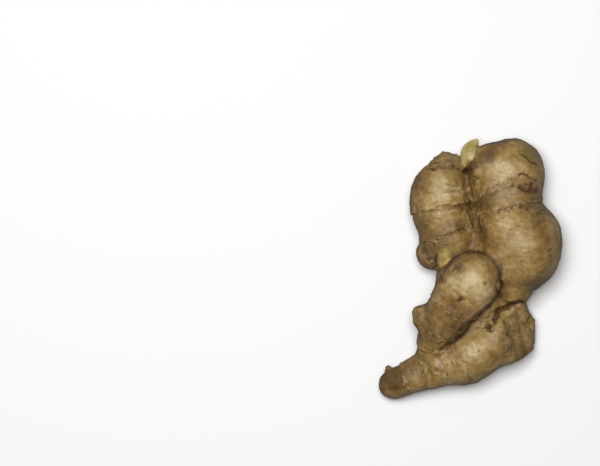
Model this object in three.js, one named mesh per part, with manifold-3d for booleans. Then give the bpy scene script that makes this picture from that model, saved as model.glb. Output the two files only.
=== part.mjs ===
// A fresh ginger root: one whole rhizome, or hand, lying flat as it does after it is dug and dried.
// Units are millimetres. +Z is up, +Y runs along the hand, and the origin is on the surface that the root
// lies on, under the middle of its outline. The root grew as one piece, so it is one closed solid: swollen
// limbs that branch from each other, ringed where scale leaves grew, with buds, knobs and two broken ends.
// Its skin is where a field is zero: the field is the distance to the nearest limb, less that limb's girth.
import * as THREE from "three";
import { mergeVertices } from "three/addons/utils/BufferGeometryUtils.js";
import Module from "manifold-3d";

// Driving dimensions
const LENGTH = 118; // along Y
const WIDTH = 82.5; // along X
const HEIGHT = 38.3; // to the top of the raised limb
const BED = -0.9; // lift of a limb that touches the surface: this much of it is cut off flat
const CELL = 1.5; // edge of the cells that the skin is first meshed with
const TRIANGLES = 11800; // that the skin is thinned to
const TINY = 0.15; // an edge shorter than this is taken out whatever the shape of the triangles by it
const PATH_STEPS = 5; // straight steps between two points of a limb's path
const REACH = 6; // beyond its skin a limb counts for nothing farther away than this

// Rings: the scar of each scale leaf is a groove with a raised lip on the side of the limb's tip
const GROOVE_DEPTH = 0.65;
const GROOVE_WIDTH = 1.05;
const LIP_HEIGHT = 0.4;
const LIP_OFFSET = 1.9;
const LIP_WIDTH = 1.3;
const RING_WANDER = 1.0; // how far a ring strays along its limb

// Lumps: waves in three directions, at two sizes
const LUMP_HEIGHT = 0.5;
const LUMP_LENGTH = 17;
const DIMPLE_HEIGHT = 0.16;
const DIMPLE_LENGTH = 6.5;

// Limbs. Each point of a path is [x, y, lift, girth radius], and lift is how high the underside is over the
// surface. squat is the limb's height over its width, and fillet the softness of its joint with the limbs
// before it. A ring is at a distance along the path, past its last point too, where it lies on the round tip.
// It has a strength, a lean across the limb, and a middle and a reach where it goes only part of the way.
const LIMBS = [
  {
    name: "lower limb",
    path: [
      [-34.6, -52.3, BED, 6.8],
      [-27.7, -49, 0.3, 7.6],
      [-19.6, -45.5, 0.8, 8.8],
      [-11, -42.2, 0.6, 10],
      [-1.6, -39.6, BED, 12.2],
      [8.6, -33.6, 0.6, 12],
      [17.8, -29, BED, 12.7],
      [20, -24.6, 0, 10.8],
    ],
    squat: 0.95,
    fillet: 0,
    rings: [
      { at: 6.5, strength: 0.35 },
      { at: 15.5, strength: 0.3 },
      { at: 24.5, strength: 0.35 },
      { at: 33, strength: 0.25 },
    ],
  },
  {
    name: "crown that the limbs branch from",
    path: [
      [-4.6, 4, 1.6, 9.4],
      [3.4, 6.4, 3, 11],
      [11.6, 3.4, 3, 11],
      [13.8, -7, 2, 10.5],
      [15.5, -16.8, 0.5, 8.4],
    ],
    squat: 0.9,
    fillet: 4,
    rings: [],
  },
  {
    name: "swelling of the main limb",
    path: [
      [20.6, 8, BED, 18.8],
      [21.2, 12.8, BED, 19.6],
    ],
    squat: 0.87,
    fillet: 3,
    rings: [],
  },
  {
    name: "knuckle of the main limb",
    path: [
      [15.3, 1, 8, 9.6],
      [18.2, -6.6, 7.5, 9.5],
    ],
    squat: 0.9,
    fillet: 1.2,
    rings: [],
  },
  {
    name: "main limb",
    path: [
      [16, 24, 3, 13.5],
      [16.1, 29.9, 2, 15.2],
      [16.1, 34.9, 1, 15.5],
      [16.9, 41.2, BED, 15.9],
      [18, 43.4, BED, 15.6],
    ],
    squat: 0.87,
    fillet: 1.8,
    rings: [
      { at: 2.7, strength: 0.6, lean: 0.2 },
      { at: 12.9, strength: 0.5, lean: 0.4 },
    ],
  },
  {
    name: "shoulder of the main limb",
    path: [
      [12, 38, 8, 9.5],
      [9.4, 46.6, 7, 10.2],
    ],
    squat: 0.9,
    fillet: 3,
    rings: [],
  },
  {
    name: "branch with the shoot",
    path: [
      [8, 30, 6, 7],
      [5.4, 37, 6.5, 7.8],
      [4.6, 44.5, 8, 7.9],
    ],
    squat: 1,
    fillet: 1.2,
    rings: [
      { at: 3.5, strength: 0.4 },
      { at: 13, strength: 0.8 },
    ],
  },
  {
    name: "left limb",
    path: [
      [-5.2, 2.2, 1.6, 8.6],
      [-9.8, 13, 1.2, 12.6],
      [-11.5, 20, 1.2, 12.6],
      [-14, 29.9, BED, 13.7],
      [-13.3, 38, 1, 12],
      [-12.2, 43.8, 2.2, 10.6],
      [-11.7, 50.4, 3, 8.8],
    ],
    squat: 0.92,
    fillet: 1.4,
    rings: [
      { at: 5.5, strength: 0.35 },
      { at: 14.9, strength: 0.6, lean: 0.1 },
      { at: 26.5, strength: 0.7 },
      { at: 37, strength: 0.5, middle: -5, reach: 7 },
    ],
  },
  {
    name: "seam where the left and the main limb have grown together",
    path: [
      [-1.5, 43, 4, 5],
      [0.6, 30, 4, 5.5],
      [2.6, 17, 5, 6.5],
    ],
    squat: 1,
    fillet: 2,
    rings: [],
  },
  {
    name: "knob of the left limb",
    path: [
      [-11.5, 11.4, 2, 8.6],
      [-17.8, 7.2, 2.2, 7.1],
    ],
    squat: 0.95,
    fillet: 3,
    rings: [],
  },
  {
    name: "shelf between the raised and the lower limb",
    path: [
      [12.5, -16, 5.5, 7],
      [2, -25, 5, 7.5],
      [-8, -33, 3, 8],
    ],
    squat: 0.95,
    fillet: 2,
    rings: [],
  },
  {
    name: "raised limb",
    path: [
      [-17, -38.5, 4, 7.6],
      [-16.2, -30.5, 7, 8],
      [-12.8, -22.8, 10, 10],
      [-7, -14.2, 12, 12],
      [-0.2, -4.8, 13.4, 13],
    ],
    squat: 0.95,
    fillet: 1.6,
    rings: [
      { at: 3.5, strength: 0.7 },
      { at: 13.5, strength: 0.3 },
      { at: 25, strength: 0.3, middle: 3, reach: 8 },
    ],
  },
  {
    name: "shoulder of the raised limb",
    path: [
      [-4, -8, 15, 9],
      [-9.5, -3.8, 13, 6.7],
    ],
    squat: 1,
    fillet: 3.5,
    rings: [],
  },
  {
    name: "knob of the raised limb",
    path: [
      [-15, -24.2, 11, 6.8],
      [-21.2, -21.6, 12, 5.8],
    ],
    squat: 1,
    fillet: 2.5,
    rings: [],
  },
  {
    name: "flap between the raised and the lower limb",
    path: [
      [8.8, -15.5, 12.6, 4.2],
      [4.9, -19.4, 11.4, 4.6],
      [1.1, -23.4, 11, 3.2],
    ],
    squat: 1,
    fillet: 1,
    rings: [],
  },
  {
    name: "fold by the broken end",
    path: [
      [11, -20.5, 12.5, 3.4],
      [12.4, -27, 16.6, 3.2],
    ],
    squat: 1,
    fillet: 1.2,
    rings: [],
  },
  {
    name: "shoot",
    path: [
      [2, 46, 11, 4.4],
      [-1, 51.4, 12.5, 4.3],
      [0, 55, 14, 3],
      [1.9, 57.6, 15.5, 1.1],
    ],
    squat: 0.95,
    fillet: 0.8,
    rings: [{ at: 2.6, strength: 0.5 }],
  },
  {
    name: "scale leaf beside the shoot",
    path: [
      [3.6, 46, 16, 3],
      [3.2, 52.6, 16, 1.8],
    ],
    squat: 1,
    fillet: 0.8,
    rings: [],
  },
  {
    name: "pale bud of the left limb",
    path: [
      [-11.2, 1.2, 14.5, 3.7],
      [-12.6, 6.8, 18.7, 3.2],
    ],
    squat: 1,
    fillet: 1.8,
    rings: [],
  },
  {
    name: "dry spur at the lower tip",
    path: [
      [-35.8, -49, 4.5, 3.6],
      [-37.7, -43.6, 7, 1],
    ],
    squat: 1,
    fillet: 1.2,
    rings: [],
  },
];

// Broken ends: the plane that a limb is broken off at, how rough the break is, how far its middle is
// hollowed and over what radius, and the softness of its rim
const BREAKS = [
  {
    limb: "left limb",
    point: [-12.2, 46.2, 17.5],
    normal: [0.03, 0.88, 0.475],
    roughness: 0.5,
    hollow: 1.2,
    spread: 6,
    rim: 1.2,
  },
  {
    limb: "lower limb",
    point: [20.7, -28, 17],
    normal: [0.62, 0, 0.78],
    roughness: 1,
    hollow: 0.8,
    spread: 6,
    rim: 2.8,
  },
  {
    limb: "lower limb",
    point: [26, -19.2, 10],
    normal: [0.84, 0.52, 0.15],
    roughness: 0.5,
    hollow: 0.3,
    spread: 5,
    rim: 1.2,
  },
  {
    limb: "lower limb",
    point: [28.6, -30, 10],
    normal: [0.97, -0.06, 0.2],
    roughness: 0.5,
    hollow: 0.3,
    spread: 5,
    rim: 1.2,
  },
  {
    limb: "knob of the raised limb",
    point: [-26, -21.5, 18],
    normal: [-0.93, 0.15, 0.33],
    roughness: 0.5,
    hollow: 0.4,
    spread: 3,
    rim: 1.6,
  },
];

// Scars on the upper side, seen from above: the place of each, its radius, how deep it is and how high its
// rim stands
const SCARS = [
  { name: "root scar on the raised limb", at: [-6.4, -13.2], radius: 1.1, depth: 0.9, rim: 0.45 },
  { name: "pit on the raised limb", at: [4.6, -5.9], radius: 0.9, depth: 0.6, rim: 0.25 },
  { name: "dent on the shoulder", at: [-14.4, -4], radius: 1.4, depth: 0.8, rim: 0.3 },
  { name: "scar behind the bud", at: [-7.6, 1.2], radius: 2, depth: 1.1, rim: 0.4 },
  { name: "root hole of the main limb", at: [26.2, 37.9], radius: 1.1, depth: 1.1, rim: 0.5 },
  { name: "pit on the swelling", at: [33.9, 8.8], radius: 0.9, depth: 0.5, rim: 0.2 },
  { name: "root scar on the knob of the left limb", at: [-21.5, 8], radius: 1.5, depth: 0.5, rim: 0.3 },
  { name: "end of the crease by the shoot", at: [-2.4, 44.3], radius: 1.3, depth: 1.6, rim: 0 },
  { name: "hole in the seam of the left and the main limb", at: [-0.8, 29.4], radius: 1, depth: 1.5, rim: 0 },
  { name: "root scar by the flap", at: [7.4, -25.6], radius: 1.5, depth: 1.1, rim: 0.5 },
  { name: "pit on the lower limb", at: [-16, -45], radius: 1.2, depth: 0.5, rim: 0.5 },
  { name: "dimple of the lower limb", at: [1, -35.5], radius: 1.8, depth: 0.35, rim: 0.3 },
];

// Creases on the upper side, seen from above: the line of each, its width and its depth, which is below zero
// for the raised edge of dry skin round a broken end
const CREASES = [
  {
    name: "seam of the left and the main limb",
    line: [
      [-4.6, 46.6],
      [-2.6, 43.9],
      [-1.6, 40.3],
      [-1, 33.5],
      [0, 29],
      [1, 24.1],
      [3.3, 18.7],
      [5.5, 13.3],
    ],
    width: 1.5,
    depth: 0.7,
  },
  {
    name: "scarred end of a ring of the main limb",
    line: [
      [18.2, 37.1],
      [20.9, 36],
      [24.1, 34.7],
      [28.1, 34],
    ],
    width: 1.2,
    depth: 0.45,
  },
  {
    name: "crack at the tip of the main limb",
    line: [
      [20.5, 52.4],
      [23.2, 50.4],
      [25.9, 47.9],
      [30.2, 46.1],
    ],
    width: 0.7,
    depth: 0.5,
  },
  {
    name: "crack across the main limb",
    line: [
      [19.6, 43],
      [23.2, 42.1],
      [26.8, 40.7],
      [29.7, 39.4],
    ],
    width: 0.7,
    depth: 0.4,
  },
  {
    name: "crease of the main limb and its swelling",
    line: [
      [32.5, 27.7],
      [30.6, 26.3],
      [27.7, 25],
    ],
    width: 0.8,
    depth: 0.5,
  },
  {
    name: "crease under the knuckle",
    line: [
      [11.4, -18.4],
      [14.8, -17.2],
      [18.6, -15.6],
      [23.2, -13.8],
    ],
    width: 1.1,
    depth: 1.3,
  },
  {
    name: "crease of the raised limb and the flap",
    line: [
      [-7.4, -27.9],
      [-4.2, -25.2],
      [-1, -22.9],
      [2.6, -20],
      [6.6, -16.9],
      [9.8, -15],
    ],
    width: 1.1,
    depth: 0.8,
  },
  {
    name: "pit at the end of the flap",
    line: [
      [5.8, -24.5],
      [7.6, -26.3],
      [9, -27.7],
    ],
    width: 0.9,
    depth: 0.9,
  },
  {
    name: "crease of the flap and the fold",
    line: [
      [11.2, -17.8],
      [10.3, -20.9],
      [9, -23.6],
    ],
    width: 0.8,
    depth: 1,
  },
  {
    name: "crease of the raised limb and the knuckle",
    line: [
      [8.7, -6.5],
      [10, -8.8],
      [11.8, -11],
      [13.5, -13.3],
    ],
    width: 1.1,
    depth: 0.5,
  },
  {
    name: "crease of the bud and the knob",
    line: [
      [-15.8, -0.2],
      [-16.3, 3.4],
      [-15.8, 7.4],
      [-14, 10.1],
    ],
    width: 0.9,
    depth: 0.8,
  },
  {
    name: "crease at the foot of the raised limb",
    line: [
      [-21.9, -34.9],
      [-19, -36.2],
      [-15.4, -36.2],
      [-11.8, -35.3],
    ],
    width: 0.8,
    depth: 0.5,
  },
  {
    name: "edge of dry skin round the end of the left limb",
    line: [
      [-19.2, 46.6],
      [-16.7, 48],
      [-14, 48.5],
      [-10.6, 48],
      [-7.2, 46.9],
      [-5, 45.8],
    ],
    width: 0.8,
    depth: -0.7,
  },
];
const MARKS_FROM = 5; // scars and creases fade in between these two heights
const MARKS_TO = 9;

// A wave pattern in space that doesn't repeat on the root, from about -1 to 1
function waves(p, length) {
  const k = (2 * Math.PI) / length;
  const a = Math.sin(k * (p.x + 0.31 * p.y) + 0.7 + 1.3 * Math.sin(k * 0.53 * p.z + 1.9));
  const b = Math.sin(k * (0.93 * p.y - 0.27 * p.z) + 2.1 + 1.1 * Math.sin(k * 0.61 * p.x + 0.4));
  const c = Math.sin(k * (1.07 * p.z + 0.22 * p.x) + 4.2 + 1.2 * Math.sin(k * 0.47 * p.y + 3.1));
  return (a + b + c) / 3;
}

function bell(distance, width) {
  return Math.exp(-((distance / width) ** 2));
}

// How far the skin stands out at a place along and across a limb, for the rings there: less on a thin limb
function ringRelief(along, side, rings, radius) {
  const share = Math.min(1, radius / 8);
  let height = 0;
  for (const { at, strength, lean = 0, middle = 0, reach = Infinity } of rings) {
    const past = along - at + lean * side;
    const there = strength * (1 - THREE.MathUtils.smoothstep(Math.abs(side - middle) / reach, 0.8, 1.2));
    height -= there * GROOVE_DEPTH * bell(past, GROOVE_WIDTH);
    height += there * LIP_HEIGHT * bell(past - LIP_OFFSET, LIP_WIDTH);
  }
  return share * height;
}

// Distance in plan from a point to a line through places
function awayFrom(p, line) {
  let nearest = Infinity;
  for (let i = 1; i < line.length; i++) {
    const [x, y] = line[i - 1];
    const [toX, toY] = [line[i][0] - x, line[i][1] - y];
    const share = ((p.x - x) * toX + (p.y - y) * toY) / (toX ** 2 + toY ** 2);
    const t = THREE.MathUtils.clamp(share, 0, 1);
    nearest = Math.min(nearest, Math.hypot(p.x - x - t * toX, p.y - y - t * toY));
  }
  return nearest;
}

// How far the skin stands out at a point, for the scars and creases there
function markRelief(p) {
  let height = 0;
  for (const { at, radius, depth, rim } of SCARS) {
    const away = Math.hypot(p.x - at[0], p.y - at[1]);
    height += rim * bell(away - 1.7 * radius, 0.6 * radius) - depth * bell(away, radius);
  }
  for (const { line, width, depth } of CREASES) {
    height -= depth * bell(awayFrom(p, line), width);
  }
  return height * THREE.MathUtils.smoothstep(p.z, MARKS_FROM, MARKS_TO);
}

// The limb's path as short straight steps, each with its start, its vector and its radii
function stepsOf({ path, squat }) {
  const centres = path.map(([x, y, lift, radius]) => new THREE.Vector3(x, y, lift + squat * radius));
  const radii = path.map(([, , , radius]) => new THREE.Vector3(radius, 0, 0));
  const [line, girth] = [centres, radii].map((points) => new THREE.CatmullRomCurve3(points, false, "catmullrom"));
  const count = PATH_STEPS * (path.length - 1);
  const places = Array.from({ length: count + 1 }, (_, i) => ({
    centre: line.getPoint(i / count),
    radius: girth.getPoint(i / count).x,
  }));
  let along = 0;
  return places.slice(1).map((end, i) => {
    const start = places[i];
    const vector = end.centre.clone().sub(start.centre);
    const length = vector.length();
    along += length;
    return {
      start: start.centre,
      vector,
      length,
      along: along - length,
      radius: start.radius,
      growth: end.radius - start.radius,
    };
  });
}

const breaks = BREAKS.map((end) => {
  const centre = new THREE.Vector3(...end.point);
  const normal = new THREE.Vector3(...end.normal).normalize();
  return { ...end, centre, plane: new THREE.Plane().setFromNormalAndCoplanarPoint(normal, centre) };
});

const limbs = LIMBS.map((limb) => {
  const steps = stepsOf(limb);
  const ends = steps.flatMap(({ start, vector }) => [start, start.clone().add(vector)]);
  const bounds = new THREE.Sphere().setFromPoints(ends);
  bounds.radius += Math.max(...limb.path.map(([, , , radius]) => radius)) + REACH;
  return { ...limb, steps, bounds, breaks: breaks.filter((end) => end.limb === limb.name) };
});

// Distance from a point to the skin of one limb, below zero inside it. Far from the limb it is a rough one.
function limbDistance(p, limb, stray, roughness) {
  const far = limb.bounds.distanceToPoint(p);
  if (far > 0) return REACH + far;
  let distance = Infinity;
  let radius = 0;
  let along = 0;
  let side = 0;
  for (const step of limb.steps) {
    const v = step.vector;
    const dx = p.x - step.start.x;
    const dy = p.y - step.start.y;
    const dz = p.z - step.start.z;
    const t = THREE.MathUtils.clamp((dx * v.x + dy * v.y + dz * v.z) / step.length ** 2, 0, 1);
    const ox = dx - t * v.x;
    const oy = dy - t * v.y;
    const oz = dz - t * v.z;
    const stepRadius = step.radius + t * step.growth;
    const stepDistance = Math.hypot(ox, oy, oz / limb.squat) - stepRadius;
    if (stepDistance < distance) {
      distance = stepDistance;
      radius = stepRadius;
      along = step.along + t * step.length + (ox * v.x + oy * v.y + oz * v.z) / step.length;
      side = (oy * v.x - ox * v.y) / Math.hypot(v.x, v.y);
    }
  }
  distance -= ringRelief(along + stray, side, limb.rings, radius);
  for (const end of limb.breaks) {
    const hollow = end.hollow * bell(p.distanceTo(end.centre), end.spread);
    const beyond = end.plane.distanceToPoint(p) + hollow + end.roughness * roughness;
    distance = -softMin(-distance, -beyond, end.rim);
  }
  return distance;
}

function softMin(a, b, softness) {
  const near = Math.max(softness - Math.abs(a - b), 0);
  return Math.min(a, b) - (softness ? near ** 2 / (4 * softness) : 0);
}

// The field whose zero surface is the root's skin
function field(p) {
  const stray = RING_WANDER * waves(p, 2 * DIMPLE_LENGTH);
  const dimples = waves(p, DIMPLE_LENGTH);
  let distance = REACH;
  for (const limb of limbs) distance = softMin(distance, limbDistance(p, limb, stray, dimples), limb.fillet);
  return distance - LUMP_HEIGHT * waves(p, LUMP_LENGTH) - DIMPLE_HEIGHT * dimples - markRelief(p);
}

// Moves a point onto the skin along the field's slope
function ontoSkin(p) {
  const e = 0.05;
  const here = field(p);
  const rise = (x, y, z) => (field(p.clone().add({ x, y, z })) - here) / e;
  const slope = new THREE.Vector3(rise(e, 0, 0), rise(0, e, 0), rise(0, 0, e));
  const move = here / Math.max(slope.lengthSq(), 0.25);
  return p.addScaledVector(slope, -THREE.MathUtils.clamp(move, -CELL / 4, CELL / 4));
}

// The twelve orders of a tetrahedron's corners that keep its handedness
const EVEN_ORDERS = [
  [0, 1, 2, 3], [0, 2, 3, 1], [0, 3, 1, 2], [1, 0, 3, 2], [1, 2, 0, 3], [1, 3, 2, 0],
  [2, 0, 1, 3], [2, 1, 3, 0], [2, 3, 0, 1], [3, 0, 2, 1], [3, 1, 0, 2], [3, 2, 1, 0],
];

// For one, two or three corners inside the skin, counted first: the edges that the skin crosses, in turn
const CROSSED_EDGES = [
  [],
  [[0, 1], [0, 2], [0, 3]],
  [[0, 2], [0, 3], [1, 3], [1, 2]],
  [[0, 3], [1, 3], [2, 3]],
  [],
];

// Each cell of the grid is six tetrahedra round its long diagonal: the corners of each
const TETRAHEDRA = [
  [[0, 0, 0], [1, 0, 0], [1, 1, 0], [1, 1, 1]],
  [[0, 0, 0], [0, 1, 0], [0, 1, 1], [1, 1, 1]],
  [[0, 0, 0], [0, 0, 1], [1, 0, 1], [1, 1, 1]],
  [[0, 0, 0], [1, 1, 0], [0, 1, 0], [1, 1, 1]],
  [[0, 0, 0], [0, 1, 1], [0, 0, 1], [1, 1, 1]],
  [[0, 0, 0], [1, 0, 1], [1, 0, 0], [1, 1, 1]],
];

// Meshes the skin: each tetrahedron that the skin crosses gets one or two triangles
function skinMesh() {
  const margin = 2 * CELL;
  const low = new THREE.Vector3(-WIDTH / 2 - margin, -LENGTH / 2 - margin, -margin);
  const size = [WIDTH + 2 * margin, LENGTH + 2 * margin, HEIGHT + 3 * margin];
  const [nx, ny, nz] = size.map((side) => Math.ceil(side / CELL) + 1);
  const corners = [];
  for (let k = 0; k < nz; k++)
    for (let j = 0; j < ny; j++)
      for (let i = 0; i < nx; i++) corners.push(new THREE.Vector3(i, j, k).multiplyScalar(CELL).add(low));
  const values = corners.map(field);

  const points = [];
  const pointOf = new Map();
  const crossing = (a, b) => {
    const key = Math.min(a, b) * corners.length + Math.max(a, b);
    if (!pointOf.has(key)) {
      pointOf.set(key, points.length);
      const share = THREE.MathUtils.clamp(values[a] / (values[a] - values[b]), 0.05, 0.95);
      points.push(ontoSkin(corners[a].clone().lerp(corners[b], share)));
    }
    return pointOf.get(key);
  };
  const triangles = [];
  const steps = TETRAHEDRA.map((tetrahedron) => tetrahedron.map(([i, j, k]) => (k * ny + j) * nx + i));
  for (let k = 0; k < nz - 1; k++)
    for (let j = 0; j < ny - 1; j++)
      for (let i = 0; i < nx - 1; i++)
        for (const step of steps) {
          const nodes = step.map((offset) => (k * ny + j) * nx + i + offset);
          const inside = nodes.filter((node) => values[node] < 0).length;
          if (inside === 0 || inside === 4) continue;
          const order = EVEN_ORDERS.find((o) => o.every((n, place) => values[nodes[n]] < 0 === place < inside));
          const loop = CROSSED_EDGES[inside].map(([a, b]) => crossing(nodes[order[a]], nodes[order[b]]));
          for (let n = 2; n < loop.length; n++) triangles.push(loop[0], loop[n - 1], loop[n]);
        }
  return new THREE.BufferGeometry().setFromPoints(points).setIndex(triangles);
}

// How well shaped a triangle is: 1 for equal sides, near 0 for a sliver
function shapeOf(triangle) {
  const { a, b, c } = triangle;
  const sides = a.distanceToSquared(b) + b.distanceToSquared(c) + c.distanceToSquared(a);
  return (4 * Math.sqrt(3) * triangle.getArea()) / Math.max(sides, 1e-12);
}

function normalOf(triangle) {
  return triangle.getNormal(new THREE.Vector3());
}

// The plane of a triangle as a quadric, weighted by the area: its ten numbers give the squared distance of
// any point to the plane
function quadricOf(triangle) {
  const n = normalOf(triangle);
  const d = -n.dot(triangle.a);
  const terms = [n.x * n.x, n.x * n.y, n.x * n.z, n.x * d, n.y * n.y, n.y * n.z, n.y * d, n.z * n.z, n.z * d, d * d];
  return terms.map((term) => term * triangle.getArea());
}

// The place for one vertex instead of two, and what it costs: the squared distance to the planes round them
function bestPlace(q, a, b) {
  const middle = a.clone().add(b).divideScalar(2);
  const hold = 1e-3 * (q[0] + q[4] + q[7]) + 1e-9;
  const planes = new THREE.Matrix3().set(q[0] + hold, q[1], q[2], q[1], q[4] + hold, q[5], q[2], q[5], q[7] + hold);
  const place = new THREE.Vector3(-q[3], -q[6], -q[8]).addScaledVector(middle, hold);
  place.applyMatrix3(planes.invert());
  if (a.z === 0 || b.z === 0) place.z = 0; // the flat spots stay flat
  const { x, y, z } = place;
  const cost =
    q[0] * x * x + q[4] * y * y + q[7] * z * z + q[9] +
    2 * (q[1] * x * y + q[2] * x * z + q[3] * x + q[5] * y * z + q[6] * y + q[8] * z);
  return { place, cost: cost + 1e-6 * a.distanceToSquared(b) };
}

// Thins a closed mesh: again and again the pairs of vertices that are missed least become one vertex
function thin(geometry, limit) {
  const position = geometry.getAttribute("position");
  const points = Array.from({ length: position.count }, (_, i) => new THREE.Vector3().fromBufferAttribute(position, i));
  let faces = [];
  for (let i = 0; i < geometry.index.count; i += 3) faces.push([0, 1, 2].map((n) => geometry.index.getX(i + n)));
  const quadrics = points.map(() => new Array(10).fill(0));
  for (const face of faces) {
    const quadric = quadricOf(new THREE.Triangle(...face.map((v) => points[v])));
    for (const v of face) quadric.forEach((term, n) => (quadrics[v][n] += term));
  }
  while (faces.length > limit) {
    const facesAt = points.map(() => []);
    for (const face of faces) for (const v of face) facesAt[v].push(face);
    const pairs = faces.flatMap(([a, b, c]) => [[a, b], [b, c], [c, a]]).filter(([a, b]) => a < b);
    const joins = pairs.map(([a, b]) => {
      const quadric = quadrics[a].map((term, n) => term + quadrics[b][n]);
      return { a, b, quadric, ...bestPlace(quadric, points[a], points[b]) };
    });
    joins.sort((one, other) => one.cost - other.cost);
    const busy = new Set();
    const gone = new Set();
    const enough = Math.min(faces.length - limit, faces.length / 6);
    for (const { a, b, quadric, place } of joins) {
      if (gone.size >= enough) break;
      if (busy.has(a) || busy.has(b)) continue;
      const neighbours = [a, b].map((v) => new Set(facesAt[v].flat()));
      const shared = [...neighbours[0]].filter((v) => neighbours[1].has(v) && v !== a && v !== b);
      if (shared.length !== 2) continue;
      const kept = [...facesAt[a], ...facesAt[b]].filter((face) => !(face.includes(a) && face.includes(b)));
      const tiny = points[a].distanceTo(points[b]) < TINY;
      const spoilt = kept.some((face) => {
        const before = new THREE.Triangle(...face.map((v) => points[v]));
        const after = new THREE.Triangle(...face.map((v) => (v === a || v === b ? place : points[v])));
        const turned = normalOf(before).dot(normalOf(after)) < 0.5 && before.getArea() > TINY ** 2;
        const shape = shapeOf(after);
        return turned || (!tiny && shape < 0.2 && shape < shapeOf(before));
      });
      if (spoilt) continue;
      for (const v of [...neighbours[0], ...neighbours[1]]) busy.add(v);
      for (const face of facesAt[a]) if (face.includes(b)) gone.add(face);
      for (const face of facesAt[b]) if (!gone.has(face)) face[face.indexOf(b)] = a;
      points[a] = place;
      quadrics[a] = quadric;
    }
    if (!gone.size) break;
    faces = faces.filter((face) => !gone.has(face));
  }
  const used = [...new Set(faces.flat())];
  const newIndex = new Map(used.map((v, i) => [v, i]));
  return new THREE.BufferGeometry()
    .setFromPoints(used.map((v) => points[v]))
    .setIndex(faces.flat().map((v) => newIndex.get(v)));
}

const wasm = await Module();
wasm.setup();

function solidOf(geometry) {
  return new wasm.Manifold(
    new wasm.Mesh({
      numProp: 3,
      vertProperties: Float32Array.from(geometry.getAttribute("position").array),
      triVerts: Uint32Array.from(geometry.index.array),
    }),
  );
}

function geometryOf(solid) {
  const mesh = solid.getMesh();
  return new THREE.BufferGeometry()
    .setAttribute("position", new THREE.BufferAttribute(mesh.vertProperties, 3))
    .setIndex(new THREE.BufferAttribute(mesh.triVerts, 1));
}

// A block below the surface that the root lies on: it cuts the low points to flat spots
function ground() {
  const depth = 10;
  const box = new THREE.BoxGeometry(2 * WIDTH, 2 * LENGTH, depth).translate(0, 0, -depth / 2);
  box.deleteAttribute("normal");
  box.deleteAttribute("uv");
  return solidOf(mergeVertices(box));
}

const skin = new THREE.MeshStandardMaterial({ color: 0xa58a5e, roughness: 0.6, metalness: 0 });
const lying = geometryOf(solidOf(skinMesh()).subtract(ground()));
const root = new THREE.Mesh(thin(lying, TRIANGLES), skin);
root.name = "ginger_root";
root.geometry.computeBoundingBox();
const middle = root.geometry.boundingBox.getCenter(new THREE.Vector3());
root.geometry.translate(-middle.x, -middle.y, 0);
root.geometry.computeVertexNormals();

const ginger = new THREE.Group();
ginger.add(root);

export default ginger;
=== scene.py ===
import bpy
import numpy as np
from mathutils import Matrix, Vector


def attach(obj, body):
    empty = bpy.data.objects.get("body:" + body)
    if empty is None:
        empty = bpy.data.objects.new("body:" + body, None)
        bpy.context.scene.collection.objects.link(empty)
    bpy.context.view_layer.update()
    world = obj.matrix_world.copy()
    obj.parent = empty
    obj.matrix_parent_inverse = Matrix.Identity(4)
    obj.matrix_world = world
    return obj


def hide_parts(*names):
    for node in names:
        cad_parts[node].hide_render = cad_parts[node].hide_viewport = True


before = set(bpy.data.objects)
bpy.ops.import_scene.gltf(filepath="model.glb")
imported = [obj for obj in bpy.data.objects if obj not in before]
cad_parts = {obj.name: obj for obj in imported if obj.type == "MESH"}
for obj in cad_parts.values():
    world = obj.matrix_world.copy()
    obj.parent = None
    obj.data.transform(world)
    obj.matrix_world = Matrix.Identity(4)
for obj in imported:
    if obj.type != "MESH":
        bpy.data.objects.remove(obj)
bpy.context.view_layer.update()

MM = 0.001
MIDDLE = np.array([-0.311, 0.078, 0.0])  # of the limbs' outline: the root is centred on the origin by it

# The limbs, as the solid has them. Each point of a path is (x, y, lift, girth radius); lift is how high the
# underside is. A ring is (distance along the path, strength, lean), and also (middle, half width) where it
# goes only part of the way across.
BED = -0.9
REACH = 6.0
PATH_STEPS = 5
GROOVE_DEPTH, GROOVE_WIDTH = 0.65, 1.05
LIP_HEIGHT, LIP_OFFSET, LIP_WIDTH = 0.4, 1.9, 1.3
RING_WANDER = 1.0
LUMP_HEIGHT, LUMP_LENGTH = 0.5, 17
DIMPLE_HEIGHT, DIMPLE_LENGTH = 0.16, 6.5
MESH_STEP = 0.54
SLOPE_STEP = 0.04
NO_RING = 9.0  # the gap past a ring where a limb has none
ROOTLETS, SHREDS, SEED = 46, 330, 7

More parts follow.
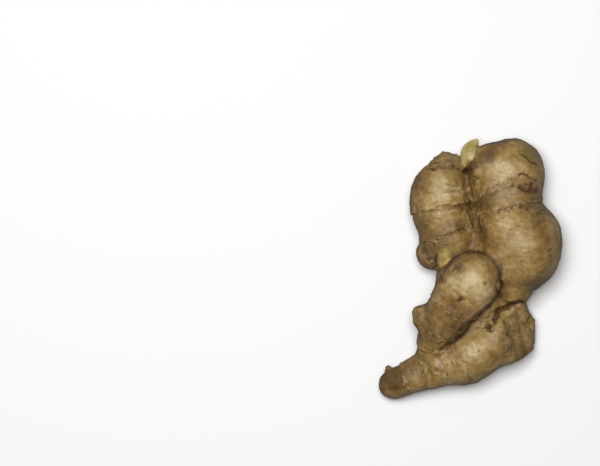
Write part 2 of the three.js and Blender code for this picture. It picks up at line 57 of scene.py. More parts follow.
LIMBS = {
    "lower limb": dict(
        path=[
            (-34.6, -52.3, BED, 6.8), (-27.7, -49, 0.3, 7.6), (-19.6, -45.5, 0.8, 8.8), (-11, -42.2, 0.6, 10),
            (-1.6, -39.6, BED, 12.2), (8.6, -33.6, 0.6, 12), (17.8, -29, BED, 12.7), (20, -24.6, 0, 10.8),
        ],
        squat=0.95, fillet=0, rings=[(6.5, 0.35, 0), (15.5, 0.3, 0), (24.5, 0.35, 0), (33, 0.25, 0)],
    ),
    "crown": dict(
        path=[
            (-4.6, 4, 1.6, 9.4), (3.4, 6.4, 3, 11), (11.6, 3.4, 3, 11), (13.8, -7, 2, 10.5), (15.5, -16.8, 0.5, 8.4),
        ],
        squat=0.9, fillet=4, rings=[],
    ),
    "swelling": dict(path=[(20.6, 8, BED, 18.8), (21.2, 12.8, BED, 19.6)], squat=0.87, fillet=3, rings=[]),
    "knuckle": dict(path=[(15.3, 1, 8, 9.6), (18.2, -6.6, 7.5, 9.5)], squat=0.9, fillet=1.2, rings=[]),
    "main limb": dict(
        path=[
            (16, 24, 3, 13.5), (16.1, 29.9, 2, 15.2), (16.1, 34.9, 1, 15.5), (16.9, 41.2, BED, 15.9),
            (18, 43.4, BED, 15.6),
        ],
        squat=0.87, fillet=1.8, rings=[(2.7, 0.6, 0.2), (12.9, 0.5, 0.4)],
    ),
    "main shoulder": dict(path=[(12, 38, 8, 9.5), (9.4, 46.6, 7, 10.2)], squat=0.9, fillet=3, rings=[]),
    "shoot branch": dict(
        path=[(8, 30, 6, 7), (5.4, 37, 6.5, 7.8), (4.6, 44.5, 8, 7.9)],
        squat=1, fillet=1.2, rings=[(3.5, 0.4, 0), (13, 0.8, 0)],
    ),
    "left limb": dict(
        path=[
            (-5.2, 2.2, 1.6, 8.6), (-9.8, 13, 1.2, 12.6), (-11.5, 20, 1.2, 12.6), (-14, 29.9, BED, 13.7),
            (-13.3, 38, 1, 12), (-12.2, 43.8, 2.2, 10.6), (-11.7, 50.4, 3, 8.8),
        ],
        squat=0.92, fillet=1.4, rings=[(5.5, 0.4, 0), (14.9, 0.85, 0.1), (26.5, 1.0, 0), (37, 0.6, 0, -5, 7)],
    ),
    "seam": dict(path=[(-0.6, 43, 5.5, 5), (1.2, 30, 6.4, 5.4), (3, 17, 6, 6.5)], squat=1, fillet=5.5, rings=[]),
    "left knob": dict(path=[(-11.5, 11.4, 2, 8.6), (-17.8, 7.2, 2.2, 7.1)], squat=0.95, fillet=3, rings=[]),
    "shelf": dict(
        path=[(12.5, -16, 5.5, 7), (2, -25, 5, 7.5), (-8, -33, 3, 8)], squat=0.95, fillet=2, rings=[]
    ),
    "raised limb": dict(
        path=[
            (-17, -38.5, 4, 7.6), (-16.2, -30.5, 7, 8), (-12.8, -22.8, 10, 10), (-7, -14.2, 12, 12),
            (-0.2, -4.8, 13.4, 13),
        ],
        squat=0.95, fillet=1.6, rings=[(3.5, 0.7, 0), (13.5, 0.3, 0), (25, 0.3, 0, 3, 8)],
    ),
    "raised shoulder": dict(path=[(-4, -8, 15, 9), (-9.5, -3.8, 13, 6.7)], squat=1, fillet=3.5, rings=[]),
    "raised knob": dict(
        path=[(-15, -24.2, 11, 6.8), (-21.2, -21.6, 12, 5.8)], squat=1, fillet=2.5, rings=[]
    ),
    "flap": dict(
        path=[(8.8, -15.5, 12.6, 4.2), (4.9, -19.4, 11.4, 4.6), (1.1, -23.4, 11, 3.2)], squat=1, fillet=1, rings=[]
    ),
    "fold": dict(path=[(11, -20.5, 12.5, 3.4), (12.4, -27, 16.6, 3.2)], squat=1, fillet=1.2, rings=[]),
    "shoot": dict(
        path=[(2, 46, 11, 4.4), (-1, 51.4, 12.5, 4.3), (0, 55, 14, 3), (1.9, 57.6, 15.5, 1.1)],
        squat=0.95, fillet=0.8, rings=[(2.6, 0.5, 0)],
    ),
    "scale leaf": dict(path=[(3.6, 45.5, 17.2, 3.1), (2.6, 53.6, 16.4, 1.9)], squat=1, fillet=0.8, rings=[]),
    "pale bud": dict(path=[(-11.2, 1.2, 14.5, 3.7), (-12.6, 6.8, 18.7, 3.2)], squat=1, fillet=1.8, rings=[]),
    "spur": dict(path=[(-35.8, -49, 4.5, 3.6), (-37.7, -43.6, 7, 1)], squat=1, fillet=1.2, rings=[]),
}

# Broken ends: a point and the direction of the plane that a limb is broken off at, and how rough, how hollow
# and how soft at its rim the break is
BREAKS = {
    "left limb": [
        dict(point=(-12.2, 48.3, 17), normal=(0.03, 0.92, 0.38), roughness=0.5, hollow=2.2, spread=5.5, rim=1),
        dict(point=(-17.4, 48.6, 12), normal=(-0.62, 0.77, 0.1), roughness=0.6, hollow=0, spread=6, rim=1),
    ],
    "lower limb": [
        dict(point=(20.7, -28, 17), normal=(0.62, 0, 0.78), roughness=1.5, hollow=0.8, spread=6, rim=2.8),
        dict(point=(26, -19.2, 10), normal=(0.84, 0.52, 0.15), roughness=0.5, hollow=0.3, spread=5, rim=1.2),
        dict(point=(28.6, -30, 10), normal=(0.97, -0.06, 0.2), roughness=0.5, hollow=0.3, spread=5, rim=1.2),
    ],
    "raised knob": [
        dict(point=(-26, -21.5, 18), normal=(-0.93, 0.15, 0.33), roughness=0.5, hollow=0.4, spread=3, rim=1.6),
    ],
}

# Scars on the upper side, seen from above: (x, y, radius, depth, rim height, darkness)
SCARS = [
    (-6.4, -13.2, 1.1, 0.9, 0.45, 0.8),
    (4.6, -5.9, 0.9, 0.6, 0.25, 0.5),
    (-14.4, -4, 1.4, 0.8, 0.3, 0.45),
    (-7.6, 1.2, 2, 1.1, 0.4, 0.6),
    (26.2, 37.9, 1.1, 1.1, 0.5, 1.1),
    (21.6, 36.6, 1.5, 0.4, 0.3, 0.8),
    (24.8, 35.6, 1.7, 0.3, 0.2, 0.8),
    (28, 35.4, 1.6, 0.4, 0.3, 0.9),
    (33.9, 8.8, 0.9, 0.5, 0.2, 0.6),
    (34.1, 6.4, 0.7, 0.4, 0.2, 0.5),
    (-21.5, 8, 1.5, 0.5, 0.3, 0.35),
    (-19, 4.4, 1.2, 0.4, 0.3, 0.3),
    (-2.4, 44.3, 1.5, 1.1, 0, 0.8),
    (-0.9, 29.6, 1, 0.8, 0, 0.7),
    (-24.6, -19, 1.2, 0.4, 0.3, 0.3),
    (7.4, -25.6, 1.5, 1.1, 0.5, 0.7),
    (-16, -45, 1.2, 0.5, 0.5, 0.3),
    (1, -35.5, 1.8, 0.35, 0.3, 0.1),
    (-4.6, 27.4, 1.4, 0.35, 0.25, 0.55),
    (21, 28.3, 1.1, 0.3, 0.3, 0.5),
    (23.8, 27.6, 0.9, 0.3, 0.3, 0.5),
    (17.6, 38.2, 0.9, 0.3, 0.2, 0.6),
]

# Creases and cracks of the upper side, seen from above: (points, width, depth, darkness). A depth under zero is a
# raised edge of dry skin. The darkness of the first crease, along the seam between the left limb and the main limb,
# and of the three crevices that start at (11.4, -18.4), (-7.4, -27.9) and (12.2, -17.2), under the knuckle and round
# the flap and the fold, is painted shade; on the cracks it is their own dark colour.
CREASES = [
    (
        [(-3.4, 46.6), (-2.4, 43.9), (-1.8, 40.3), (-1.2, 33.5), (-0.6, 29), (0.4, 24.1), (2.4, 18.7), (4.6, 13.3)],
        1.7, 1.05, 0.42,
    ),
    ([(4, 31.7), (8, 33.5), (12, 35.8), (15.5, 37.1), (18.2, 38)], 0.45, 0.4, 0.65),
    ([(18.2, 37.1), (20.9, 36), (24.1, 34.7), (28.1, 34)], 1.2, 0.45, 0.9),
    ([(22.5, 38.8), (24.8, 36.6), (27.6, 36.4)], 0.7, 0.3, 0.8),
    ([(9, 25.4), (13, 26.6), (19.1, 28.6), (24.1, 28.2)], 0.45, 0.35, 0.5),
    ([(19.1, 26), (22.7, 26.2), (25, 27.8), (23, 29.5)], 0.4, 0.25, 0.5),
    ([(20.5, 52.4), (23.2, 50.4), (25.9, 47.9), (30.2, 46.1)], 0.4, 0.5, 1.15),
    ([(19.6, 43), (23.2, 42.1), (26.8, 40.7), (29.7, 39.4)], 0.38, 0.4, 1.05),
    ([(32.5, 27.7), (30.6, 26.3), (27.7, 25)], 0.7, 0.5, 0.5),
    ([(11.9, 7.4), (15.5, 5.2), (18.7, 3.4)], 0.3, 0.25, 0.45),
    ([(13.7, 8.8), (17.3, 6.5)], 0.3, 0.2, 0.4),
    ([(11.4, -18.4), (14.8, -17.2), (18.6, -15.6), (23.2, -13.8)], 1.1, 1.3, 0.8),
    ([(-7.4, -27.9), (-4.2, -25.2), (-1, -22.9), (2.6, -20), (6.6, -16.9), (9.8, -15)], 1.1, 0.8, 0.6),
    ([(5.8, -24.5), (7.6, -26.3), (9, -27.7)], 0.9, 0.9, 0.7),
    ([(12.2, -17.2), (10.8, -20.9), (9, -24.4)], 0.95, 1.7, 1),
    ([(8.6, 5.2), (11.4, 3.4), (12.4, -0.2), (11.6, -3.8), (9.5, -6.5)], 0.9, 0.35, 0.5),
    ([(8.7, -6.5), (10, -8.8), (11.8, -11), (13.5, -13.3)], 1.1, 0.5, 0.55),
    ([(11.5, -4), (13.6, -6.6), (13.2, -10)], 0.7, 0.3, 0.45),
    ([(-16.4, 27.7), (-14.6, 26.3), (-11, 26.3), (-7.9, 28.1), (-4.3, 29)], 0.45, 0.35, 0.7),
    ([(-19, 14.2), (-14.6, 15.1), (-11.5, 15.1), (-7.9, 16.9), (-5.2, 18.7)], 0.35, 0.3, 0.5),
    ([(-8.3, 18.7), (-6.5, 20.7), (-4.3, 21.4), (-5.5, 18.9)], 0.5, 0.2, 0.45),
    ([(-11.9, 38), (-9.2, 37.6), (-6.5, 38)], 0.4, 0.35, 0.65),
    ([(-19.6, 45.4), (-17.6, 44.8), (-15.2, 44.9)], 0.5, 0.7, 0.95),
    ([(-10.5, 45.2), (-7.3, 45.9), (-4.8, 45)], 0.5, 0.7, 0.8),
    ([(-19.2, 46.8), (-16.7, 47.6), (-14, 48), (-10.6, 47.8), (-7.2, 47), (-5, 46)], 0.6, -0.8, 0),
    ([(-26.4, 36.7), (-24.4, 38), (-22.1, 36.2), (-21.7, 33.1), (-23.9, 30.8), (-26.4, 31.7)], 0.4, 0.35, 0.4),
    ([(-21.9, -34.9), (-19, -36.2), (-15.4, -36.2), (-11.8, -35.3)], 0.7, 0.5, 0.5),
    ([(-14.9, -15.5), (-12.2, -14.6), (-9, -13.7), (-6.8, -14.2)], 0.4, 0.2, 0.3),
    ([(-15.8, -0.2), (-16.3, 3.4), (-15.8, 7.4), (-14, 10.1)], 0.9, 0.8, 0.8),
    ([(-3, -26.6), (2.4, -26.9), (7.4, -26.5)], 0.45, -0.5, 0),
    ([(15.3, -27.2), (19.8, -26.8), (24.3, -26.3), (27.4, -25.9)], 0.4, -0.35, 0),
    ([(16, -31), (20.5, -34.5), (26, -35)], 0.5, -0.3, 0),
    ([(14, -21.5), (15.6, -27), (18, -33)], 0.7, 0.35, 0.35),
]

# Stains and tints on the upper side: (x, y, radius, strength). The soil spots hold stains, and also painted shade:
# those along the seam valley, from (-1.2, 38) to (3, 18.5).
SOIL_AND_SHADE = [
    (-3.4, 10, 5, 0.7), (-8, 3.5, 4, 0.6), (6.5, 50.5, 4.5, 1.2), (10, 53, 6, 0.6), (0.3, 47, 2.9, 1.3),
    (3.9, 51.8, 2.2, 0.9), (4.5, 28.8, 5.5, 0.6), (29.5, 22.8, 5, 0.5), (-20, 20, 6, 0.5), (-12, 13, 8, 0.45),
    (-12, -21, 8, 0.6), (-17, -30, 7, 0.2), (-19, -7, 5, 0.5), (-37, -49, 8, 1.1), (-5, -29, 5, 0.55),
    (22, -27, 8, 0.45), (3, 15, 5, 0.6), (-5.2, 27, 3.4, 0.6), (22.4, 27.4, 3.6, 0.6), (17.4, 38, 2.6, 0.5),
    (-5, 19.4, 3.6, 0.6), (-8, 38.4, 3, 0.4), (9, 22, 5, 0.4), (3.4, 33, 3.4, 0.4), (4, 24, 3, 0.4),
    (-1.2, 38, 2.3, 0.75), (-0.9, 34, 2.2, 0.75), (-0.2, 28, 2.4, 0.8), (1.2, 23, 2.3, 0.7), (3, 18.5, 2.4, 0.6),
    (12, -7, 5, 0.4), (36, 10, 8, 0.4), (28, -6, 7, 0.5), (23, -37, 6, 0.8), (10, 41, 4, 0.35), (-27, -46, 6, 0.4),
    (-20, 7, 5, 0.5), (0, -25, 5, 0.3), (28, 36, 6, 0.5), (-9, 47.5, 4, 0.4), (26, 15, 6, 0.25),
]
PINK = [
    (-2.2, -20, 4, 0.8), (-20.5, 5, 4, 0.8), (-24, -19, 3.5, 0.5), (24.5, 36.5, 4.5, 0.7), (4, -19.5, 4, 0.9),
    (-7.5, 1.2, 3, 0.8), (12, -6, 6, 0.35), (14, 0, 5, 0.35), (10, -10, 4, 0.4),
]
GREEN = [
    (27, 51.5, 6, 1.0), (-0.5, 54, 4, 1.0), (30, 30, 6, 0.35), (-10, 52, 5, 0.8), (37, -2, 6, 0.4),
    (30, -24, 5, 0.6), (-9, 40, 5, 0.3), (14, -30, 5, 0.35),
]
# The pale spots are mostly painted highlights on the tops of the limbs, such as (-13, 33), (12.5, 19), (-2.5, -6) and
# (1, -35); a few small ones, on the shoot's base, the pale bud and the broken rim, are the skin's own pale colour.
PALE_AND_HIGHLIGHT = [
    (-14, 48, 3, 0.9), (-13, 33, 7, 0.8), (14.5, 42.5, 7, 0.9), (12.5, 19, 5, 1.0), (-2.5, -6, 7, 1.0),
    (1, -35, 6, 0.9), (20, 10.5, 6, 0.9), (-16, -41, 4, 0.5), (9, 40, 4, 0.3), (-26, -45, 5, 0.3), (2, -16, 4, 0.4),
    (4, 4, 4.5, 0.4), (-0.6, 50.8, 1.9, 0.9), (-11.6, 4.4, 1.7, 0.9), (5.5, -18.8, 3, 0.9), (-7, -45, 5, 0.4),
]


def waves(p, length):
    """A wave pattern in space that doesn't repeat on the root, from about -1 to 1."""
    x, y, z = p.T
    k = 2 * np.pi / length
    a = np.sin(k * (x + 0.31 * y) + 0.7 + 1.3 * np.sin(k * 0.53 * z + 1.9))
    b = np.sin(k * (0.93 * y - 0.27 * z) + 2.1 + 1.1 * np.sin(k * 0.61 * x + 0.4))
    c = np.sin(k * (1.07 * z + 0.22 * x) + 4.2 + 1.2 * np.sin(k * 0.47 * y + 3.1))
    return (a + b + c) / 3


def bell(distance, width):
    return np.exp(-((distance / width) ** 2))


def smooth(value, low, high):
    t = np.clip((value - low) / (high - low), 0, 1)
    return t * t * (3 - 2 * t)


def soft_min(a, b, softness):
    if not softness:
        return np.minimum(a, b)
    near = np.maximum(softness - np.abs(a - b), 0)
    return np.minimum(a, b) - near**2 / (4 * softness)


def on_curve(points, share):
    """The point at that share of the smooth curve through points."""
    place = share * (len(points) - 1)
    first = min(int(place), len(points) - 2)
    t = place - first
    here, there = points[first], points[first + 1]
    before = points[first - 1] if first else 2 * here - there
    after = points[first + 2] if first + 2 < len(points) else 2 * there - here
    leave, arrive = (there - before) / 2, (after - here) / 2
    return (
        (2 * t**3 - 3 * t**2 + 1) * here
        + (t**3 - 2 * t**2 + t) * leave
        + (3 * t**2 - 2 * t**3) * there
        + (t**3 - t**2) * arrive
    )


def with_steps(name, limb):
    """The limb with its path as short straight steps, and its break."""
    points = [np.array([x, y, lift + limb["squat"] * r, r]) for x, y, lift, r in limb["path"]]
    count = PATH_STEPS * (len(points) - 1)
    places = np.array([on_curve(points, i / count) for i in range(count + 1)])
    vectors = np.diff(places[:, :3], axis=0)
    lengths = np.linalg.norm(vectors, axis=1)
    directions = vectors / lengths[:, None]
    sides = np.cross([0, 0, 1], directions)
    sides /= np.linalg.norm(sides, axis=1)[:, None]
    return limb | dict(
        name=name, starts=places[:-1, :3], vectors=vectors, lengths=lengths, directions=directions, sides=sides,
        ups=np.cross(directions, sides), radii=places[:-1, 3], growths=np.diff(places[:, 3]),
        alongs=np.concatenate([[0], np.cumsum(lengths)[:-1]]), breaks=BREAKS.get(name, []),
        low=places[:, :3].min(0) - places[:, 3].max() - REACH, high=places[:, :3].max(0) + places[:, 3].max() + REACH,
    )


limbs = [with_steps(name, limb) for name, limb in LIMBS.items()]
LIMB_NAMES = list(LIMBS)


def ring_relief(past, presence, share):
    """How far the skin stands out at a distance past a ring, with the dry edge of the scale leaf on it."""
    broad = LIP_HEIGHT * bell(past - LIP_OFFSET, LIP_WIDTH) - GROOVE_DEPTH * bell(past, GROOVE_WIDTH)
    edge = 0.2 * bell(past - 0.75, 0.38) - 0.26 * bell(past, 0.42)
    return share * (broad + presence * edge)


def limb_skin(p, limb, wander, dimples):
    """Distance from points to one limb's skin, and where along and round the limb they lie."""
    offsets = p[:, None, :] - limb["starts"][None]
    t = np.clip((offsets * limb["vectors"]).sum(2) / limb["lengths"] ** 2, 0, 1)
    offsets -= t[:, :, None] * limb["vectors"]
    radii = limb["radii"] + t * limb["growths"]
    flat, tall = offsets[:, :, 0] ** 2 + offsets[:, :, 1] ** 2, offsets[:, :, 2] / limb["squat"]
    distances = np.sqrt(flat + tall**2) - radii
    rows = np.arange(len(p))
    best = distances.argmin(1)
    offset, radius, distance = offsets[rows, best], radii[rows, best], distances[rows, best]
    past_step = (offset * limb["directions"][best]).sum(1)
    along = limb["alongs"][best] + t[rows, best] * limb["lengths"][best] + past_step
    place = np.stack([(offset * limb["sides"][best]).sum(1), (offset * limb["ups"][best]).sum(1), along], 1)
    share = np.minimum(1, radius / 8)
    presence = smooth(waves(p + 11, 7.5), -0.25, 0.35)
    gap = np.full(len(p), NO_RING)
    for at, strength, lean, *window in limb["rings"]:
        past = along + wander - at + lean * place[:, 0]
        if window:
            strength = strength * smooth(np.abs(place[:, 0] - window[0]) / window[1], 1.2, 0.8)
        distance -= strength * ring_relief(past, presence, share)
        closer = (np.abs(past) < np.abs(gap)) & (strength > 0.1)
        gap = np.where(closer, past, gap)
    thin_rings = np.sin(2 * np.pi * (along + 1.5 * wander) / 3.1) * smooth(waves(p - 7, 11), -0.1, 0.5)
    distance -= 0.07 * share * thin_rings
    cut = np.zeros(len(p))
    for broken in limb["breaks"]:
        normal = np.array(broken["normal"]) / np.linalg.norm(broken["normal"])
        away = p - np.array(broken["point"])
        fibres = 0.2 * waves(p, 2.7) + 0.08 * waves(p + 5, 1.5)
        hollow = broken["hollow"] * bell(np.linalg.norm(away, axis=1), broken["spread"])
        beyond = away @ normal + hollow + broken["roughness"] * dimples
        cut = np.maximum(cut, smooth(beyond - distance, -0.3, 0.7))
        frill = 0.55 * bell(beyond - distance + 0.2, 0.7) * smooth(waves(p + 3, 4.7), -0.5, 0.4)
        distance = -soft_min(-distance, -(beyond + fibres), broken["rim"]) - frill
    return distance, gap, place, cut, limb["directions"][best]


def from_line(p, points):
    """Distance in plan from a line through points, and how near its middle, 1, or its ends, 0, that is."""
    nearest, share = np.full(len(p), 99.0), np.zeros(len(p))
    count = len(points) - 1
    for n, (start, end) in enumerate(zip(points, points[1:])):
        way = np.subtract(end, start)
        offset = p[:, :2] - start
        t = np.clip(offset @ way / (way @ way), 0, 1)
        away = np.hypot(*(offset - t[:, None] * way).T)
        whole = (n + t) / count
        share = np.where(away < nearest, 1 - np.abs(2 * whole - 1), share)
        nearest = np.minimum(nearest, away)
    return nearest, share


def marks(p):
    """How far the skin stands out for the scars and creases that are seen from above, and how dark they are; in the
    crevices between limbs that dark is painted shade.
    """
    height, dark = np.zeros(len(p)), np.zeros(len(p))
    ragged = p + np.stack([waves(p, 3.7), waves(p + 20, 3.7), 0 * p[:, 0]], 1) * 0.55
    ragged += np.stack([waves(p, 1.6), waves(p + 20, 1.6), 0 * p[:, 0]], 1) * 0.2
    for x, y, radius, depth, rim, darkness in SCARS:
        away = np.hypot(ragged[:, 0] - x, ragged[:, 1] - y)
        height += rim * bell(away - 1.7 * radius, 0.6 * radius) - depth * bell(away, radius)
        dark = np.maximum(dark, darkness * bell(away, 1.15 * radius))
    broken = 0.55 + 0.75 * waves(p + 31, 5.3)
    for points, width, depth, darkness in CREASES:
        margin = 5 * width + 1
        past_low, past_high = p[:, :2] > np.min(points, 0) - margin, p[:, :2] < np.max(points, 0) + margin
        near = np.flatnonzero((past_low & past_high).all(1))
        away, share = from_line(ragged[near], points)
        there = np.clip(smooth(share, 0, 0.35) * (0.6 + broken[near]), 0, 1)
        height[near] -= depth * there * bell(away, width)
        height[near] += 0.3 * max(depth, 0) * there * bell(away - 1.8 * width, 0.7 * width)
        dark[near] = np.maximum(dark[near], darkness * there * bell(away, 0.9 * width))
    upper = smooth(p[:, 2], 5, 9)
    return height * upper, dark * upper


def skin(p, rootlets):
    """The field whose zero surface is the skin, and what is known of the nearest limb: its number, the gap past
    its nearest ring, the place round and along it, how much it is a broken end, and which way it heads."""
    big_wander = RING_WANDER * waves(p, 2 * DIMPLE_LENGTH)
    wander = big_wander + 0.55 * waves(p, 4.7) + 0.15 * waves(p, 1.9)
    dimples = waves(p, DIMPLE_LENGTH)
    distance = np.full(len(p), REACH)
    nearest = np.full(len(p), REACH)
    number = np.zeros(len(p), int)
    known = [np.full(len(p), NO_RING), np.zeros((len(p), 3)), np.zeros(len(p)), np.zeros((len(p), 3))]
    for n, limb in enumerate(limbs):
        near = np.flatnonzero(((p > limb["low"]) & (p < limb["high"])).all(1))
        d, *facts = limb_skin(p[near], limb, wander[near], dimples[near])
        distance[near] = soft_min(distance[near], d, limb["fillet"])
        wins = d < nearest[near]
        won = near[wins]
        nearest[won], number[won] = d[wins], n
        for values, fact in zip(known, facts):
            values[won] = fact[wins]
    distance -= LUMP_HEIGHT * waves(p, LUMP_LENGTH) + DIMPLE_HEIGHT * dimples + marks(p)[0]
    distance -= 0.06 * waves(p + 2, 3.3) + 0.03 * waves(p - 4, 1.7)
    for centre, radius in rootlets:
        away = np.linalg.norm(p - centre, axis=1)
        distance -= 0.22 * bell(away - 1.5 * radius, 0.5 * radius) - 0.35 * bell(away, 0.8 * radius)
    return distance, number, *known


def onto_skin(p, rootlets, rounds=3, reach=0.9):
    """Moves points onto the skin along the field's slope."""
    for _ in range(rounds):
        here = skin(p, rootlets)[0]
        ahead = [skin(p + SLOPE_STEP * axis, rootlets)[0] for axis in np.eye(3)]
        slope = (np.stack(ahead, 1) - here[:, None]) / SLOPE_STEP
        steep = np.maximum((slope**2).sum(1), 0.3)
        p = p - slope * np.clip(here / steep, -reach, reach)[:, None]
    return p


def put(name, data):
    """A new object in the scene, at the origin."""
    thing = bpy.data.objects.new(name, data)
    bpy.context.scene.collection.objects.link(thing)
    return thing


def coordinates(mesh):
    flat = np.empty(len(mesh.vertices) * 3)
    mesh.vertices.foreach_get("co", flat)
    return flat.reshape(-1, 3)


def set_coordinates(mesh, points):
    mesh.vertices.foreach_set("co", np.ascontiguousarray(points, dtype=np.float32).ravel())
    mesh.update()


def fine_copy(node, voxel):
    """An even, fine mesh over a node of the solid."""
    rough = put("rough", node.data.copy())
    weld = rough.modifiers.new("weld", "WELD")
    weld.merge_threshold = 1e-6
    remesh = rough.modifiers.new("remesh", "REMESH")
    remesh.mode = "VOXEL"
    remesh.voxel_size = voxel
    evaluated = rough.evaluated_get(bpy.context.evaluated_depsgraph_get())
    mesh = bpy.data.meshes.new_from_object(evaluated)
    bpy.data.objects.remove(rough)
    mesh.materials.clear()
    return mesh


def averaged(values, ends, rounds):
    """Values at the vertices, evened out with their neighbours again and again."""
    count = len(values)
    here, there = ends.T
    weight = np.bincount(ends.ravel(), minlength=count)[:, None]
    for _ in range(rounds):
        totals = [
            np.bincount(here, column[there], count) + np.bincount(there, column[here], count) for column in values.T
        ]
        values = 0.5 * values + 0.5 * np.stack(totals, 1) / weight
    return values


def store(mesh, name, values):
    kind = "FLOAT" if values.ndim == 1 else "FLOAT_VECTOR"
    attribute = mesh.attributes.new(name, kind, "POINT")
    attribute.data.foreach_set("value" if values.ndim == 1 else "vector", values.astype(np.float32).ravel())


def tint(p, spots):
    """How strongly spots on the upper side colour each point, from 0 to 1, with ragged edges."""
    strength = np.zeros(len(p))
    ragged = 1 + 0.35 * waves(p, 5) + 0.25 * waves(p + 9, 2.4)
    for x, y, radius, weight in spots:
        strength = np.maximum(strength, weight * bell(np.hypot(p[:, 0] - x, p[:, 1] - y) * ragged, radius))
    return strength * smooth(p[:, 2], 0.5, 4)


def dressed_root():
    """The root's fine mesh, with what its colours need stored on it."""
    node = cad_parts["ginger_root"]
    mesh = fine_copy(node, MESH_STEP * MM)
    p = coordinates(mesh) / MM + MIDDLE
    draw = np.random.default_rng(SEED)
    picks = p[draw.choice(len(p), ROOTLETS, replace=False)]
    rootlets = [(centre, radius) for centre, radius in zip(picks, draw.uniform(0.45, 0.95, len(picks)))]
    p = onto_skin(p, rootlets)
    p[:, 2] = np.maximum(p[:, 2], 0)
    _, number, gap, place, cut, heading = skin(p, rootlets)
    set_coordinates(mesh, (p - MIDDLE) * MM)

    ends = np.empty(len(mesh.edges) * 2, int)
    mesh.edges.foreach_get("vertices", ends)
    ends = ends.reshape(-1, 2)
    normals = np.empty(len(mesh.vertices) * 3)
    mesh.vertex_normals.foreach_get("vector", normals)
    normals = normals.reshape(-1, 3)
    fine = averaged(p, ends, 12)
    broad = averaged(fine, ends, 90)
    store(mesh, "dent", ((fine - p) * normals).sum(1))
    store(mesh, "hollow", ((broad - p) * normals).sum(1))
    store(mesh, "slant", 1 - normals[:, 2])
    store(mesh, "ring_gap", gap)
    store(mesh, "limb_place", place)
    store(mesh, "broken", averaged(cut[:, None], ends, 3)[:, 0])
    for name, kinds in {"shoot": ["shoot"], "bud": ["pale bud"], "leaf": ["scale leaf", "spur"]}.items():
        mask = np.isin(number, [LIMB_NAMES.index(kind) for kind in kinds]).astype(float)
        store(mesh, name, averaged(mask[:, None], ends, 7)[:, 0])
    for name, spots in {"soil": SOIL_AND_SHADE, "pink": PINK, "green": GREEN, "pale": PALE_AND_HIGHLIGHT}.items():
        store(mesh, name, tint(p, spots))
    scar = marks(p)[1]
    for centre, radius in rootlets:
        scar = np.maximum(scar, 0.55 * bell(np.linalg.norm(p - centre, axis=1), 0.8 * radius))
    store(mesh, "scar", scar)
    mesh.polygons.foreach_set("use_smooth", np.ones(len(mesh.polygons), bool))
    return mesh, fringe_points(p, normals, heading, gap, number, draw)


def fringe_points(p, normals, heading, gap, number, draw):
    """Where shreds of the dry scale leaves hang on to the rings: points with a turn and a size."""
    bare = np.isin(number, [LIMB_NAMES.index(name) for name in ("shoot", "pale bud", "scale leaf", "spur")])
    there = (np.abs(gap - 0.2) < 0.22) & (waves(p + 17, 6.1) > -0.05) & (p[:, 2] > 2) & ~bare
    picks = draw.choice(np.flatnonzero(there), SHREDS, replace=False)
    up = normals[picks]
    ahead = heading[picks] - (heading[picks] * up).sum(1)[:, None] * up
    ahead /= np.linalg.norm(ahead, axis=1)[:, None]
    across = np.cross(ahead, up)
    swing = draw.normal(0, 0.35, len(picks))[:, None]
    ahead = ahead * np.cos(swing) + across * np.sin(swing)
    across = np.cross(ahead, up)
    turns = [Matrix(np.stack(axes, 1).tolist()).to_euler()[:] for axes in zip(across, ahead, up)]
    sizes = draw.uniform(0.55, 1.25, (len(picks), 3))
    return (p[picks] - MIDDLE) * MM, np.array(turns), sizes


def shred():
    """One shred of dry scale leaf: a thin curled plate with a ragged free edge, along +Y from its foot."""
    across, along = 5, 4
    top, below = [], []
    for j in range(along):
        for i in range(across):
            u, v = i / (across - 1) - 0.5, j / (along - 1)
            x = 1.3 * u * (1 - 0.35 * v)
            y = v * (0.72 + 0.28 * np.cos(5 * u + 0.8)) - 0.15
            z = 0.02 + 0.2 * v**1.6 + 0.35 * u * u * v
            thickness = 0.09 * (1 - 0.4 * v)
            top.append((x, y, z))
            below.append((x, y, z - thickness))
    count = len(top)
    faces = []
    for j in range(along - 1):
        for i in range(across - 1):
            a, b = j * across + i, j * across + i + 1
            c, d = b + across, a + across
            faces += [(a, b, c, d), (d + count, c + count, b + count, a + count)]
    rim = list(range(across)) + [across * (j + 1) - 1 for j in range(1, along)]
    rim += list(range(count - 2, count - across - 1, -1)) + [across * j for j in range(along - 2, 0, -1)]
    for a, b in zip(rim, rim[1:] + rim[:1]):
        faces.append((b, a, a + count, b + count))
    mesh = bpy.data.meshes.new("shred")
    mesh.from_pydata(np.array(top + below) * MM, [], faces)
    return mesh


